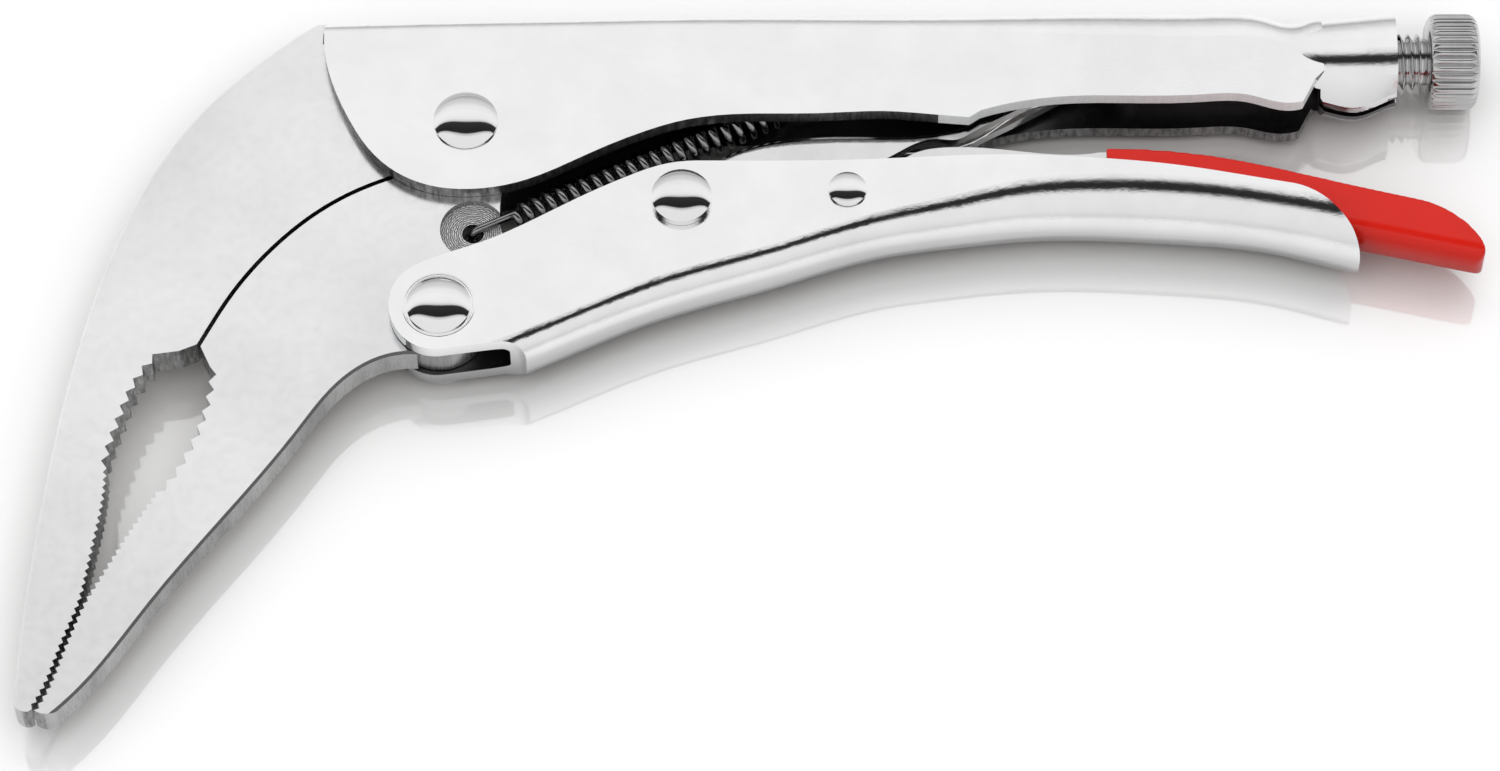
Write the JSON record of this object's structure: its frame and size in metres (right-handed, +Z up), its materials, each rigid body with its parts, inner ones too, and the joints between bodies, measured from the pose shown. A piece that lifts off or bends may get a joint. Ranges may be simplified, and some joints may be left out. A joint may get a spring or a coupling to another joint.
{
  "type": "locking pliers",
  "caption": "Locking pliers with long angled jaws, over-centre toggle linkage, adjusting screw and release lever in the lower handle.",
  "frame": {"origin": "middle of the underside of the bounding box, the tool lying flat on its side on the lower rivet heads", "axes": "+X along the handles from the jaws to the adjusting screw, +Y from the lower handle to the upper handle, +Z up along the rivets"},
  "size_m": [0.1988, 0.1088, 0.0147],
  "materials": {
    "plated_sheet": "bright nickel plate on pressed sheet steel",
    "jaw_steel": "satin nickel plate on forged steel",
    "rivet_steel": "bright nickel plate, domed heads",
    "link_steel": "bright nickel plate, thin inside",
    "screw_steel": "satin zinc plate",
    "spring_steel": "oiled dark wire",
    "weld_steel": "plated weld bead",
    "red_coat": "glossy dipped PVC"
  },
  "bodies": {
    "root": {"upper_handle": "plated_sheet", "fixed_jaw": "jaw_steel", "jaw_weld": "weld_steel", "jaw_rivet": "rivet_steel", "return_spring": "spring_steel"},
    "moving_jaw": {"moving_jaw": "jaw_steel"},
    "lower_handle": {"lower_handle": "plated_sheet", "handle_rivet": "rivet_steel", "toggle_rivet": "rivet_steel", "lever_rivet": "rivet_steel"},
    "toggle_link": {"toggle_link": "link_steel"},
    "release_lever": {"release_lever": "link_steel", "lever_grip": "red_coat"},
    "screw_point": {"screw_point": "screw_steel"},
    "screw": {"adjusting_screw": "screw_steel", "screw_knob": "screw_steel"}
  },
  "joints": [
    {"name": "jaw_open", "type": "hinge", "parent": "root", "child": "moving_jaw", "pos_m": [-0.0415, 0.03513, 0.00734], "axis": [0, 0, 1], "range_deg": [0, 22], "deforming": ["return_spring"]},
    {"name": "handle_swing", "type": "hinge", "parent": "moving_jaw", "child": "lower_handle", "pos_m": [-0.0446, 0.00604, 0.00734], "axis": [0, 0, 1], "range_deg": [-60.6, 0.1]},
    {"name": "link_swing", "type": "hinge", "parent": "lower_handle", "child": "toggle_link", "pos_m": [-0.0116, 0.02263, 0.00734], "axis": [0, 0, 1], "range_deg": [-0.1, 65.44]},
    {"name": "lever_press", "type": "hinge", "parent": "lower_handle", "child": "release_lever", "pos_m": [0.0112, 0.02414, 0.00734], "axis": [0, 0, 1], "range_deg": [0, 3.2]},
    {"name": "screw_advance", "type": "slide", "parent": "root", "child": "screw_point", "axis": [1, 0, 0], "range_m": [0, 0.015]},
    {"name": "screw_turn", "type": "hinge", "parent": "screw_point", "child": "screw", "pos_m": [0.0515, 0.04754, 0.00734], "axis": [1, 0, 0], "range_deg": [-4, 4324]}
  ],
  "couplings": [
    {"joint": "handle_swing", "follows": "jaw_open", "ratio": -2.75},
    {"joint": "link_swing", "follows": "jaw_open", "ratio": 2.97},
    {"joint": "screw_turn", "follows": "screw_advance", "rad_per_m": 5026.5}
  ]
}
